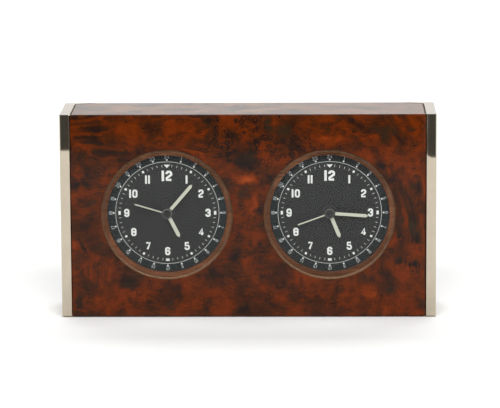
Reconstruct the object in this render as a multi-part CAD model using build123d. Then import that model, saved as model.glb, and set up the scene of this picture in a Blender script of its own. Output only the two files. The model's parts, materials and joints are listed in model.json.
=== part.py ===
from build123d import *
import os
from math import cos, pi, radians, sin

# A two-dial quartz chess clock: a lacquered wooden case between solid metal end caps, with one
# battery movement behind each dial. Millimetres. X runs to the viewer's right, Y from the front
# to the back and Z up. The origin is under the middle of the case, on the surface it stands on.

# Case
CASE_WIDTH = 230.0
CASE_DEPTH = 48.0
CASE_HEIGHT = 125.6
FRONT_T = 9.0            # front board
BOARD_T = 10.0           # top and bottom boards
BACK_T = 6.0             # removable back board
BACK_LIP = 3.0           # edge of the top and bottom boards left beside the back board
SIDE_BLOCK_T = 16.5      # block that each end cap is screwed to
EDGE_ROUND = 0.6         # rounding of the long wooden edges
JOINT_GAP = 0.15         # dark line between wood and metal, and around the back board

# Metal end caps
CAP_T = 6.5              # thickness, seen from the front as a strip
RETURN_LENGTH = 10.0     # how far a cap wraps round the back
RETURN_ROOT = 4.2        # thickness of that return at its root
RETURN_TIP = 0.6         # and at its tip
RETURN_FILLET = 2.5
CAP_ROUND = 0.5          # outer vertical edges
CAP_BEVEL = 0.6          # bright bevel on the strip's inner front edge
CAP_END_BEVEL = 0.3      # top and bottom edges

# Felt under the case
BAIZE_T = 0.7
BAIZE_INSET_X = 12.5
BAIZE_INSET_Y = 4.0
BAIZE_CORNER = 3.0

# Dials and glasses
DIAL_SPACING = 99.8      # between the two dial centres
DIAL_ABOVE_MIDDLE = 0.6  # dial centres above the middle of the case
DIAL_RADIUS = 40.0
DIAL_T = 1.5
OPENING_RADIUS = 36.7    # hole in the front board
LENS_RADIUS = 40.4
LENS_T = 2.8
LENS_RECESS = 0.2
LENS_BEVEL = 1.3
SEAT_GAP = 0.1           # round a part that drops into a recess

# Back board openings over the movements
ACCESS_SIZE = 62.0
ACCESS_CORNER = 4.0

# Movement case
MOVEMENT_SIZE = 56.0
MOVEMENT_CORNER = 4.0
MOVEMENT_BASE_T = 1.5
COVER_WALL = 1.2
BATTERY_RADIUS = 7.25
BATTERY_LENGTH = 50.5
BATTERY_NUB_RADIUS = 2.75
BATTERY_NUB = 1.5
BATTERY_CLEARANCE = 0.3
BATTERY_RECESS = 0.9     # battery below the cover's rear face
BAY_TOP = 11.4           # underside of the wall over the battery, below the dial centre
BAY_WALL = 1.0
POST_RADIUS = 2.2
POST_X = 23.5
POST_TOP_Z = 23.5
POST_LOW_Z = -8.0
MIDDLE_PLATE_T = 1.0
MIDDLE_PLATE_GAP = 0.4   # between the middle plate and the cover's walls
BOSS_RADIUS = 3.6        # threaded tube through the dial
NUT_RADIUS = 4.5
NUT_T = 0.9
PIVOT_BOSS_RADIUS = 1.4
PIVOT_DEPTH = 1.2

# Hands, measured from the dial centre
HAND_T = 0.3
HAND_PITCH = 0.8         # from one hand's rear face to the next
HAND_START = 0.4         # first hand above the nut
HOUR_HAND = {"length": 17.2, "width": 2.9, "point": 2.0, "border": 0.32, "hub": 3.1}
MINUTE_HAND = {"length": 24.2, "width": 2.6, "point": 1.9, "border": 0.3, "hub": 3.0}
SECOND_HAND = {"length": 21.4, "width": 1.15, "point": 1.0, "border": 0.18, "hub": 2.9}
WINDOW_START = 3.35      # luminous window begins clear of the hubs
HUB_CAP_T = 0.9
HUB_CAP_BEVEL = 0.35
READINGS = {"left": (5, 6, 47.75), "right": (5, 15, 41.67)}   # hours, minutes, seconds

# Arbors and tubes of the centre, from the inside out
SECONDS_ARBOR_R = 0.55
MINUTE_TUBE_R = 1.55
HOUR_TUBE_R = 2.55
FIT = 0.06               # radial clearance of a running fit
PRESS = 0.02             # radial allowance of a pressed fit
PIVOT_R = 0.4
STEM_R = 1.0

# Gear trains: distance between the two centres, teeth of the pinion, teeth of the wheel
HOUR_MESH = (12.0, 10, 40)
MOTION_MESH = (12.0, 12, 36)
CENTRE_MESH = (10.8, 8, 64)
THIRD_MESH = (10.8, 8, 60)
FOURTH_MESH = (9.0, 10, 50)
FIFTH_MESH = (9.0, 10, 60)
ADDENDUM = 0.8
DEDENDUM = 1.15
TOOTH_TIP_SHARE = 0.1    # half width of a tooth at its tip, as a share of the tooth pitch
TOOTH_ROOT_SHARE = 0.3
WHEEL_T = 0.7
LAYER_PITCH = 1.1
LAYER_START = 0.2        # first wheel above the movement base
PLATE_SPACE = 0.4        # between a plate and the wheel next to it
THIRD_ANGLE = 150.0
FIFTH_ANGLE = 120.0
ROTOR_ANGLE = 60.0       # from the fifth arbor to the rotor

# Stepping motor
MAGNET_RADIUS = 3.0
MAGNET_T = 1.4
STATOR_T = 0.8
STATOR_HOLE = 3.4
STATOR_HALF_WIDTH = 14.0
STATOR_LEG = 3.0
STATOR_GAP = 0.8         # stator behind the fifth wheel
STATOR_BAND = 7.0        # height of the band round the rotor
CORE_DEPTH = 2.4
COIL_ABOVE_ROTOR = 7.4
COIL_HALF_LENGTH = 9.0
COIL_RADIUS = 2.9
COIL_FLANGE_RADIUS = 3.2
COIL_FLANGE_T = 0.8

# Circuit board
BOARD_X = (15.0, 26.0)
BOARD_Z = (-4.0, 20.0)
CIRCUIT_BOARD_T = 0.8

# Setting knob
KNOB_RADIUS = 5.0
KNOB_HEIGHT = 5.0
KNOB_GAP = 0.3
KNOB_GROOVES = 18
KNOB_GROOVE_RADIUS = 0.45

# Screws: shank radius, head radius, length
CASE_SCREW = (1.5, 2.9, 16.0)
CAP_SCREW = (2.0, 3.8, 21.5)
CLIP_SCREW = (1.2, 2.2, 6.5)
MOVEMENT_SCREW = (0.95, 1.9, 14.5)
PAN_HEAD_T = 1.1
SLOT_WIDTH = 0.6
SLOT_DEPTH = 0.6
SCREW_GAP = 0.05
CASE_SCREW_X = 88.0      # outer back screws from the middle
CASE_SCREW_EDGE = 3.7    # from the back board's edge
CAP_SCREW_Y = (-6.0, 9.0)
CAP_SCREW_END = 28.0     # cap screws from the case's top and bottom
CLIP_ANGLES = (90.0, 210.0, 330.0)
CLIP_LENGTH = 9.0
CLIP_WIDTH = 6.0
CLIP_T = 0.8
CLIP_OVERLAP = 3.0       # clip over the dial's rim
CLIP_SCREW_FROM_END = 2.9
CLIP_ROOM = 0.5          # round the clips, in a board that they would reach

# Places worked out from the sizes above
FRONT = -CASE_DEPTH / 2
BACK = CASE_DEPTH / 2
BOTTOM = BAIZE_T
TOP = BAIZE_T + CASE_HEIGHT
WOOD_HALF = CASE_WIDTH / 2 - CAP_T
RETURN_X = WOOD_HALF - RETURN_LENGTH
PANEL_REAR = FRONT + FRONT_T
DIAL_FRONT = PANEL_REAR - DIAL_T
DIAL_Z = (BOTTOM + TOP) / 2 + DIAL_ABOVE_MIDDLE
DIAL_X = {"left": -DIAL_SPACING / 2, "right": DIAL_SPACING / 2}
LENS_REAR = FRONT + LENS_RECESS + LENS_T

NUT_FRONT = DIAL_FRONT - NUT_T
HOUR_REAR = NUT_FRONT - HAND_START
MINUTE_REAR = HOUR_REAR - HAND_PITCH
SECOND_REAR = MINUTE_REAR - HAND_PITCH

BASE_REAR = PANEL_REAR + MOVEMENT_BASE_T
LAYER_A = BASE_REAR + LAYER_START        # hour wheel
LAYER_B = LAYER_A + LAYER_PITCH          # motion wheel
LAYER_C = LAYER_B + LAYER_PITCH          # centre wheel
LAYER_D = LAYER_C + LAYER_PITCH          # third wheel
PLATE_FRONT = LAYER_D + WHEEL_T + PLATE_SPACE
PLATE_REAR = PLATE_FRONT + MIDDLE_PLATE_T
LAYER_E = PLATE_REAR + PLATE_SPACE       # seconds wheel
LAYER_F = LAYER_E + LAYER_PITCH          # intermediate wheel
STATOR_FRONT = LAYER_F + WHEEL_T + STATOR_GAP
STATOR_REAR = STATOR_FRONT + STATOR_T
COVER_REAR = BASE_REAR + BATTERY_CLEARANCE + 2 * BATTERY_RADIUS + BATTERY_RECESS
SKIN_FRONT = COVER_REAR - COVER_WALL
BATTERY_Y = BASE_REAR + BATTERY_CLEARANCE + BATTERY_RADIUS
BATTERY_Z = -BAY_TOP - BATTERY_CLEARANCE - BATTERY_RADIUS
MOVEMENT_HALF = MOVEMENT_SIZE / 2
INNER_HALF = MOVEMENT_HALF - COVER_WALL
KNOB_FRONT = COVER_REAR + KNOB_GAP
KNOB_REAR = KNOB_FRONT + KNOB_HEIGHT


def polar(distance, degrees, start=(0.0, 0.0)):
    """A point at a distance and an angle, counted from +X towards +Z."""
    angle = radians(degrees)
    return start[0] + distance * cos(angle), start[1] + distance * sin(angle)


MOTION = polar(MOTION_MESH[0], 0)
THIRD = polar(CENTRE_MESH[0], THIRD_ANGLE)
FIFTH = polar(FOURTH_MESH[0], FIFTH_ANGLE)
ROTOR = polar(FIFTH_MESH[0], ROTOR_ANGLE, FIFTH)
COIL_Z = ROTOR[1] + COIL_ABOVE_ROTOR
POSTS = [(x, z) for x in (-POST_X, POST_X) for z in (POST_LOW_Z, POST_TOP_Z)]


# Shapes used in more than one piece

def slab(outline, front, back, at=(0.0, 0.0)):
    """A sketch drawn in X and Z, given its thickness from y = front to y = back."""
    plane = Plane((at[0], back, at[1]), x_dir=(1, 0, 0), z_dir=(0, -1, 0))
    return extrude(plane * outline, back - front)


def rod(radius, front, back, at=(0.0, 0.0)):
    """A round bar along Y."""
    return slab(Circle(radius), front, back, at)


def block(x, y, z):
    """A box between two values on each axis."""
    size = [span[1] - span[0] for span in (x, y, z)]
    return Pos(*[(span[0] + span[1]) / 2 for span in (x, y, z)]) * Box(*size)


def outline_of(points):
    return make_face(Polyline(*points, close=True))


def screw(kind, sizes, gap=0.0):
    """A slotted screw pointing down -Z with its head's top at the origin, or, with a gap, its hole."""
    shank, head, length = sizes
    seat = head - shank if kind == "countersunk" else PAN_HEAD_T
    under = shank if kind == "countersunk" else head
    points = [(0, 0), (head + gap, 0), (under + gap, -seat)]
    if kind == "pan":
        points.append((shank + gap, -seat))
    points += [(shank + gap, -length - gap), (0, -length - gap)]
    body = revolve(Plane.XZ * outline_of(points), Axis.Z)
    if gap:
        return body
    slot = Box(2 * head, SLOT_WIDTH, 2 * SLOT_DEPTH)
    return body - slot


def place(solid, point, outward):
    """Puts a screw with its head's top at a point, facing outward."""
    return Plane(origin=point, z_dir=outward) * solid


# Gears

def pitch_radii(mesh):
    distance, pinion, wheel = mesh
    return distance * pinion / (pinion + wheel), distance * wheel / (pinion + wheel)


def gear_outline(teeth, pitch_radius, phase):
    """Straight-flanked teeth with enough backlash to run without touching."""
    module = 2 * pitch_radius / teeth
    tip = pitch_radius + ADDENDUM * module
    root = pitch_radius - DEDENDUM * module
    corners = ((root, -TOOTH_ROOT_SHARE), (tip, -TOOTH_TIP_SHARE))
    corners += ((tip, TOOTH_TIP_SHARE), (root, TOOTH_ROOT_SHARE))
    points = []
    for tooth in range(teeth):
        for radius, share in corners:
            angle = phase + 2 * pi * (tooth + share) / teeth
            points.append((radius * cos(angle), radius * sin(angle)))
    return outline_of(points)


def meshed_phase(teeth, phase, other_teeth, direction):
    """The other gear's phase, with a gap where this gear has a tooth on the line of centres."""
    return direction + pi - (pi - (direction - phase) * teeth) / other_teeth


def wheel_and_pinion(mesh, degrees):
    """Outlines of a wheel and of the pinion that meshes with it, whose centre lies at that angle."""
    pinion_radius, wheel_radius = pitch_radii(mesh)
    phase = meshed_phase(mesh[2], 0.0, mesh[1], radians(degrees))
    return gear_outline(mesh[2], wheel_radius, 0.0), gear_outline(mesh[1], pinion_radius, phase)


HOUR_WHEEL, MOTION_PINION = wheel_and_pinion(HOUR_MESH, 0)
MOTION_WHEEL, CANNON_PINION = wheel_and_pinion(MOTION_MESH, 180)
CENTRE_WHEEL, THIRD_PINION = wheel_and_pinion(CENTRE_MESH, THIRD_ANGLE)
THIRD_WHEEL, FOURTH_PINION = wheel_and_pinion(THIRD_MESH, THIRD_ANGLE + 180)
FOURTH_WHEEL, FIFTH_PINION = wheel_and_pinion(FOURTH_MESH, FIFTH_ANGLE)
FIFTH_WHEEL, ROTOR_PINION = wheel_and_pinion(FIFTH_MESH, ROTOR_ANGLE)


# Case

def cap_outline(grow=0.0):
    """Plan of the right end cap: a slab along the side with a thin return round the back."""
    outer = CASE_WIDTH / 2
    points = [(WOOD_HALF, FRONT), (outer, FRONT), (outer, BACK), (RETURN_X, BACK)]
    points += [(RETURN_X, BACK - RETURN_TIP), (WOOD_HALF, BACK - RETURN_ROOT)]
    face = outline_of(points)
    inner = face.vertices().sort_by_distance((WOOD_HALF, BACK - RETURN_ROOT))[0]
    face = fillet(inner, RETURN_FILLET)
    if grow:
        return offset(face, grow, kind=Kind.INTERSECTION)
    outside = face.vertices().filter_by(lambda v: v.X > outer - 0.01)
    face = fillet(outside, CAP_ROUND)
    front_inner = face.vertices().sort_by_distance((WOOD_HALF, FRONT))[0]
    return chamfer(front_inner, CAP_BEVEL)


def end_cap():
    cap = extrude(Plane((0, 0, BOTTOM)) * cap_outline(), CASE_HEIGHT)
    for z in (BOTTOM, TOP):
        face = cap.faces().filter_by_position(Axis.Z, z - 0.01, z + 0.01)[0]
        cap = chamfer(face.edges(), CAP_END_BEVEL)
    return cap - cap_screw_group(SCREW_GAP)


def cap_screw_group(gap=0.0):
    """Screws from inside the case, through the right side block into the right end cap."""
    inner_face = WOOD_HALF - SIDE_BLOCK_T
    shape = screw("countersunk", CAP_SCREW, gap)
    rows = (BOTTOM + CAP_SCREW_END, TOP - CAP_SCREW_END)
    spots = [(inner_face, y, z) for y in CAP_SCREW_Y for z in rows]
    return Compound([place(shape, spot, (-1, 0, 0)).solid() for spot in spots])


def wooden_section(points):
    """A board with the given section in Y and Z, as long as the wooden case and clear of the caps."""
    board = extrude(Plane.YZ * outline_of(points), WOOD_HALF, both=True)
    envelope = Pos(0, 0, (BOTTOM + TOP) / 2) * Box(CASE_WIDTH, CASE_DEPTH, CASE_HEIGHT)
    long_edges = envelope.edges().filter_by(Axis.X)
    board = board & fillet(long_edges, EDGE_ROUND)
    return clear_of_caps(board)


def clear_of_caps(solid):
    cutter = extrude(Plane((0, 0, BOTTOM - 1)) * cap_outline(JOINT_GAP), CASE_HEIGHT + 2)
    return solid - cutter - mirror(cutter, Plane.YZ)


def front_panel():
    """Mitred top and bottom, with a stepped round opening for each glass and dial."""
    section = [(FRONT, BOTTOM), (PANEL_REAR, BOTTOM + BOARD_T)]
    section += [(PANEL_REAR, TOP - BOARD_T), (FRONT, TOP)]
    panel = wooden_section(section)
    for x in DIAL_X.values():
        centre = (x, DIAL_Z)
        panel -= rod(OPENING_RADIUS, FRONT - 1, PANEL_REAR + 1, centre)
        panel -= rod(LENS_RADIUS + SEAT_GAP, FRONT - 1, LENS_REAR, centre)
        panel -= rod(DIAL_RADIUS + SEAT_GAP, DIAL_FRONT, PANEL_REAR + 1, centre)
    return panel - clip_screw_group(SCREW_GAP)


def top_panel():
    section = [(FRONT, TOP), (BACK, TOP), (BACK, TOP - BACK_LIP)]
    section += [(BACK - BACK_T, TOP - BACK_LIP), (BACK - BACK_T, TOP - BOARD_T)]
    section += [(PANEL_REAR, TOP - BOARD_T)]
    return wooden_section(section) - back_screw_group(SCREW_GAP) - clip_room()


def bottom_panel():
    section = [(FRONT, BOTTOM), (BACK, BOTTOM), (BACK, BOTTOM + BACK_LIP)]
    section += [(BACK - BACK_T, BOTTOM + BACK_LIP), (BACK - BACK_T, BOTTOM + BOARD_T)]
    section += [(PANEL_REAR, BOTTOM + BOARD_T)]
    return wooden_section(section) - back_screw_group(SCREW_GAP) - clip_room()


def side_block():
    """Right-hand block between the boards, stepped at the back to seat the back board."""
    heights = (BOTTOM + BOARD_T, TOP - BOARD_T)
    body = block((WOOD_HALF - SIDE_BLOCK_T, WOOD_HALF), (PANEL_REAR, BACK), heights)
    step = block((0, RETURN_X), (BACK - BACK_T, BACK + 1), (BOTTOM, TOP))
    return clear_of_caps(body - step) - cap_screw_group(SCREW_GAP) - clip_room()


def back_panel():
    half = RETURN_X - JOINT_GAP
    heights = (BOTTOM + BACK_LIP + JOINT_GAP, TOP - BACK_LIP - JOINT_GAP)
    panel = block((-half, half), (BACK - BACK_T, BACK), heights)
    rear_edges = panel.faces().sort_by(Axis.Y)[-1].edges()
    panel = chamfer(rear_edges, EDGE_ROUND)
    opening = RectangleRounded(ACCESS_SIZE, ACCESS_SIZE, ACCESS_CORNER)
    for x in DIAL_X.values():
        panel -= slab(opening, BACK - BACK_T - 1, BACK + 1, (x, DIAL_Z))
    return panel - back_screw_group(SCREW_GAP)


def back_screw_group(gap=0.0):
    edge = BACK_LIP + JOINT_GAP + CASE_SCREW_EDGE
    shape = screw("countersunk", CASE_SCREW, gap)
    spots = [(x, BACK, z) for x in (-CASE_SCREW_X, 0, CASE_SCREW_X) for z in (BOTTOM + edge, TOP - edge)]
    return Compound([place(shape, spot, (0, 1, 0)).solid() for spot in spots])


def base_baize():
    width = CASE_WIDTH - 2 * BAIZE_INSET_X
    depth = CASE_DEPTH - 2 * BAIZE_INSET_Y
    return extrude(RectangleRounded(width, depth, BAIZE_CORNER), BAIZE_T)


# Dial clips: three tabs behind each dial, screwed to the front board

def clip_spots(distance):
    for x in DIAL_X.values():
        for angle in CLIP_ANGLES:
            yield angle, polar(distance, angle, (x, DIAL_Z))


def dial_clips():
    start = DIAL_RADIUS - CLIP_OVERLAP
    clips = []
    for angle, spot in clip_spots(start + CLIP_LENGTH / 2):
        tab = Rot(0, 0, angle) * RectangleRounded(CLIP_LENGTH, CLIP_WIDTH, 1)
        clips.append(slab(tab, PANEL_REAR, PANEL_REAR + CLIP_T, spot))
    holes = clip_screw_group(SCREW_GAP)
    return Compound([(clip - holes).solid() for clip in clips])


def clip_room():
    """What the clips need, taken out of a board that large dials would push them into."""
    room = []
    for angle, spot in clip_spots(DIAL_RADIUS - CLIP_OVERLAP + CLIP_LENGTH / 2):
        around = RectangleRounded(CLIP_LENGTH + 2 * CLIP_ROOM, CLIP_WIDTH + 2 * CLIP_ROOM, 1)
        deep = PANEL_REAR + CLIP_T + PAN_HEAD_T + CLIP_ROOM
        room.append(slab(Rot(0, 0, angle) * around, PANEL_REAR, deep, spot))
    return Compound(room)


def clip_screw_group(gap=0.0):
    distance = DIAL_RADIUS - CLIP_OVERLAP + CLIP_LENGTH - CLIP_SCREW_FROM_END
    shape = screw("pan", CLIP_SCREW, gap)
    head_top = PANEL_REAR + CLIP_T + PAN_HEAD_T
    spots = [(x, head_top, z) for angle, (x, z) in clip_spots(distance)]
    return Compound([place(shape, spot, (0, 1, 0)).solid() for spot in spots])


# Glass, dial and hands, drawn about the dial centre

def lens():
    glass = rod(LENS_RADIUS, FRONT + LENS_RECESS, LENS_REAR)
    front_edge = glass.edges().filter_by(GeomType.CIRCLE).sort_by(Axis.Y)[0]
    return chamfer(front_edge, LENS_BEVEL)


def dial_plate():
    return rod(DIAL_RADIUS, DIAL_FRONT, PANEL_REAR) - rod(BOSS_RADIUS + SEAT_GAP, DIAL_FRONT - 1, PANEL_REAR + 1)


def dial_nut():
    nut = rod(NUT_RADIUS, NUT_FRONT, DIAL_FRONT) - rod(BOSS_RADIUS + PRESS, NUT_FRONT - 1, DIAL_FRONT + 1)
    slot = Rectangle(2 * NUT_RADIUS + 2, SLOT_WIDTH)
    return nut - slab(slot, NUT_FRONT - 1, NUT_FRONT + SLOT_DEPTH / 2)


def blade_outline(hand, inset, start):
    """A straight hand towards 12 with a pointed tip, or its window when inset."""
    half = hand["width"] / 2 - inset
    slope = hand["width"] / 2 / hand["point"]
    tip = hand["length"] - inset * (1 + slope * slope) ** 0.5 / slope
    shoulder = tip - half / slope
    return outline_of([(-half, start), (half, start), (half, shoulder), (0, tip), (-half, shoulder)])


def hand_blank(hand, rear):
    """Blade with its luminous window cut out, and a round hub."""
    front = rear - HAND_T
    blade = slab(blade_outline(hand, 0.0, 0.0), front, rear)
    window = slab(blade_outline(hand, hand["border"], WINDOW_START), front - 1, rear + 1)
    return blade - window + rod(hand["hub"], front, rear)


def turned(solid, degrees):
    """Turns a hand clockwise, as seen from the front."""
    return Rot(0, degrees, 0) * solid


def hour_hand(degrees):
    hand = hand_blank(HOUR_HAND, HOUR_REAR) - rod(HOUR_TUBE_R + PRESS, HOUR_REAR - 1, HOUR_REAR + 1)
    return turned(hand, degrees)


def minute_hand(degrees):
    hand = hand_blank(MINUTE_HAND, MINUTE_REAR)
    return turned(hand - rod(MINUTE_TUBE_R + PRESS, MINUTE_REAR - 1, MINUTE_REAR + 1), degrees)


def second_hand(degrees):
    """The last hand, with the round cap that covers the ends of the tubes."""
    cap_front = SECOND_REAR - HUB_CAP_T
    cap = rod(SECOND_HAND["hub"], cap_front, SECOND_REAR)
    front_edge = cap.edges().filter_by(GeomType.CIRCLE).sort_by(Axis.Y)[0]
    cap = chamfer(front_edge, HUB_CAP_BEVEL)
    hole = rod(SECONDS_ARBOR_R + PRESS, SECOND_REAR - HUB_CAP_T / 2, SECOND_REAR + 1)
    return turned(hand_blank(SECOND_HAND, SECOND_REAR) + cap - hole, degrees)


# Movement case

def movement_base():
    square = RectangleRounded(MOVEMENT_SIZE, MOVEMENT_SIZE, MOVEMENT_CORNER)
    base = slab(square, PANEL_REAR, BASE_REAR) + rod(BOSS_RADIUS, NUT_FRONT, PANEL_REAR)
    for post in POSTS:
        base += rod(POST_RADIUS, BASE_REAR, PLATE_FRONT, post)
    base -= rod(HOUR_TUBE_R + FIT, NUT_FRONT - 1, BASE_REAR + 1)
    for arbor, radius in ((THIRD, PIVOT_R), (MOTION, STEM_R)):
        base -= rod(radius + FIT, BASE_REAR - PIVOT_DEPTH, BASE_REAR + 1, arbor)
    return base - movement_screw_group(SCREW_GAP)


def middle_plate():
    half = INNER_HALF - MIDDLE_PLATE_GAP
    low = -BAY_TOP + BAY_WALL + MIDDLE_PLATE_GAP
    outline = Pos(0, (low + half) / 2) * RectangleRounded(2 * half, half - low, MOVEMENT_CORNER - 2)
    plate = slab(outline, PLATE_FRONT, PLATE_REAR)
    pivots = ((THIRD, PIVOT_R), (FIFTH, PIVOT_R), (ROTOR, PIVOT_R))
    for arbor, radius in pivots + (((0.0, 0.0), SECONDS_ARBOR_R), (MOTION, STEM_R)):
        plate -= rod(radius + FIT, PLATE_FRONT - 1, PLATE_REAR + 1, arbor)
    return plate - movement_screw_group(SCREW_GAP)


def movement_cover():
    """Rear shell with the battery bay, the wall above it, screw posts and pivot bosses."""
    square = RectangleRounded(MOVEMENT_SIZE, MOVEMENT_SIZE, MOVEMENT_CORNER)
    hollow = RectangleRounded(2 * INNER_HALF, 2 * INNER_HALF, MOVEMENT_CORNER - COVER_WALL)
    cover = slab(square, BASE_REAR, COVER_REAR) - slab(hollow, BASE_REAR - 1, SKIN_FRONT)
    cover += block((-INNER_HALF, INNER_HALF), (BASE_REAR, SKIN_FRONT), (-BAY_TOP, -BAY_TOP + BAY_WALL))
    bay = block((-INNER_HALF, INNER_HALF), (BASE_REAR, COVER_REAR + 1), (-INNER_HALF, -BAY_TOP))
    bay = fillet(bay.edges().filter_by(Axis.Y), 1)
    cover -= bay
    for post in POSTS:
        cover += rod(POST_RADIUS, PLATE_REAR, SKIN_FRONT, post)
    bearings = (((0.0, 0.0), LAYER_F + WHEEL_T, SECONDS_ARBOR_R), (FIFTH, LAYER_F + WHEEL_T, PIVOT_R))
    bearings += ((ROTOR, STATOR_REAR + MAGNET_T / 2, PIVOT_R),)
    for arbor, clear_from, radius in bearings:
        face = clear_from + PLATE_SPACE
        cover += rod(PIVOT_BOSS_RADIUS, face, SKIN_FRONT, arbor)
        cover -= rod(radius + FIT, face - 1, face + PIVOT_DEPTH + FIT, arbor)
    cover -= rod(STEM_R + FIT, BASE_REAR, COVER_REAR + 1, MOTION)
    return cover - movement_screw_group(SCREW_GAP)


def movement_screw_group(gap=0.0):
    """Four screws from the rear of the cover, through the middle plate into the base's posts."""
    shape = screw("pan", MOVEMENT_SCREW, gap)
    head_top = COVER_REAR + PRESS
    spots = [(x, head_top, z) for x, z in POSTS]
    return Compound([place(shape, spot, (0, 1, 0)).solid() for spot in spots])


# Wheels

def hour_wheel():
    wheel = slab(HOUR_WHEEL, LAYER_A, LAYER_A + WHEEL_T)
    wheel += rod(HOUR_TUBE_R, HOUR_REAR - HAND_T, LAYER_A + WHEEL_T)
    return wheel - rod(MINUTE_TUBE_R + FIT, HOUR_REAR - HAND_T - 1, LAYER_B)


def minute_pinion():
    """Tube that carries the minute hand, with the pinion that drives the motion wheel."""
    front = MINUTE_REAR - HAND_T
    rear = LAYER_C + WHEEL_T
    tube = rod(MINUTE_TUBE_R, front, rear) + slab(CANNON_PINION, LAYER_B, LAYER_B + WHEEL_T)
    return tube - rod(SECONDS_ARBOR_R + FIT, front - 1, rear + 1)


def centre_wheel():
    """Turns once an hour and grips the minute tube through a slipping fit."""
    return slab(CENTRE_WHEEL, LAYER_C, LAYER_C + WHEEL_T) - rod(MINUTE_TUBE_R + FIT, LAYER_B, LAYER_D)


def motion_wheel():
    wheel = slab(MOTION_WHEEL, LAYER_B, LAYER_B + WHEEL_T, MOTION)
    wheel += slab(MOTION_PINION, LAYER_A, LAYER_B, MOTION)
    return wheel + rod(STEM_R, BASE_REAR - PIVOT_DEPTH + FIT, KNOB_REAR - 1, MOTION)


def third_wheel():
    wheel = slab(THIRD_WHEEL, LAYER_D, LAYER_D + WHEEL_T, THIRD)
    wheel += slab(THIRD_PINION, LAYER_C, LAYER_D, THIRD)
    return wheel + rod(PIVOT_R, BASE_REAR - PIVOT_DEPTH + FIT, PLATE_REAR, THIRD)


def seconds_wheel():
    wheel = slab(FOURTH_WHEEL, LAYER_E, LAYER_E + WHEEL_T) + slab(FOURTH_PINION, LAYER_D, LAYER_D + WHEEL_T)
    rear = LAYER_F + WHEEL_T + PLATE_SPACE + PIVOT_DEPTH
    return wheel + rod(SECONDS_ARBOR_R, SECOND_REAR - HAND_T, rear)


def intermediate_wheel():
    wheel = slab(FIFTH_WHEEL, LAYER_F, LAYER_F + WHEEL_T, FIFTH)
    wheel += slab(FIFTH_PINION, LAYER_E, LAYER_F, FIFTH)
    return wheel + rod(PIVOT_R, PLATE_FRONT, LAYER_F + WHEEL_T + PLATE_SPACE + PIVOT_DEPTH, FIFTH)


# Stepping motor and electrics

def rotor():
    middle = (STATOR_FRONT + STATOR_REAR) / 2
    magnet = rod(MAGNET_RADIUS, middle - MAGNET_T / 2, middle + MAGNET_T / 2, ROTOR)
    turning = magnet + slab(ROTOR_PINION, LAYER_F, LAYER_F + WHEEL_T, ROTOR)
    rear = STATOR_REAR + MAGNET_T / 2 + PLATE_SPACE + PIVOT_DEPTH
    return turning + rod(PIVOT_R, PLATE_FRONT, rear, ROTOR)


def stator():
    """A pole plate round the rotor, and the bar through the coil that joins its legs."""
    low = ROTOR[1] - STATOR_BAND / 2
    top = COIL_Z + CORE_DEPTH / 2
    plate = block((-STATOR_HALF_WIDTH, STATOR_HALF_WIDTH), (STATOR_FRONT, STATOR_REAR), (low, top))
    inner = STATOR_HALF_WIDTH - STATOR_LEG
    plate -= block((-inner, inner), (STATOR_FRONT - 1, STATOR_REAR + 1), (low + STATOR_BAND, top + 1))
    plate -= rod(STATOR_HOLE, STATOR_FRONT - 1, STATOR_REAR + 1, ROTOR)
    heights = (COIL_Z - CORE_DEPTH / 2, top)
    core = block((-STATOR_HALF_WIDTH, STATOR_HALF_WIDTH), (STATOR_REAR, STATOR_REAR + STATOR_T), heights)
    return Compound([plate.solid(), core.solid()])


def coil():
    """Copper winding between two flanges, along X behind the stator's legs."""
    end = COIL_HALF_LENGTH
    neck = end - COIL_FLANGE_T
    points = [(0, -end), (COIL_FLANGE_RADIUS, -end), (COIL_FLANGE_RADIUS, -neck), (COIL_RADIUS, -neck)]
    points += [(COIL_RADIUS, neck), (COIL_FLANGE_RADIUS, neck), (COIL_FLANGE_RADIUS, end), (0, end)]
    spool = revolve(Plane.XZ * outline_of(points), Axis.Z)
    middle = STATOR_REAR + STATOR_T / 2
    spool = Pos(0, middle, COIL_Z) * Rot(0, 90, 0) * spool
    half_depth = CORE_DEPTH / 2 + SEAT_GAP
    half_bar = STATOR_T / 2 + SEAT_GAP
    core_y = (middle - half_bar, middle + half_bar)
    return spool - block((-end - 1, end + 1), core_y, (COIL_Z - half_depth, COIL_Z + half_depth))


def circuit_board():
    """Board with a domed chip and a small crystal can."""
    board = block(BOARD_X, (PLATE_REAR, PLATE_REAR + CIRCUIT_BOARD_T), BOARD_Z)
    middle_x = (BOARD_X[0] + BOARD_X[1]) / 2
    chip = rod(2.6, PLATE_REAR, PLATE_REAR + CIRCUIT_BOARD_T + 1.0, (middle_x, 4.0))
    chip = fillet(chip.edges().filter_by(GeomType.CIRCLE).sort_by(Axis.Y)[-1], 0.8)
    can = Pos(middle_x, PLATE_REAR + CIRCUIT_BOARD_T + 0.8, 13.0) * Cylinder(1.0, 6.0)
    return board + chip + can


def battery():
    """Round cell along X, with its positive end to the right."""
    length = BATTERY_LENGTH - BATTERY_NUB
    can = Cylinder(BATTERY_RADIUS, length)
    can = fillet(can.edges().filter_by(GeomType.CIRCLE), 0.6)
    nub = Pos(0, 0, length / 2 + BATTERY_NUB / 2) * Cylinder(BATTERY_NUB_RADIUS, BATTERY_NUB)
    return Pos(-BATTERY_NUB / 2, BATTERY_Y, BATTERY_Z) * Rot(0, 90, 0) * (can + nub)


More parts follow.
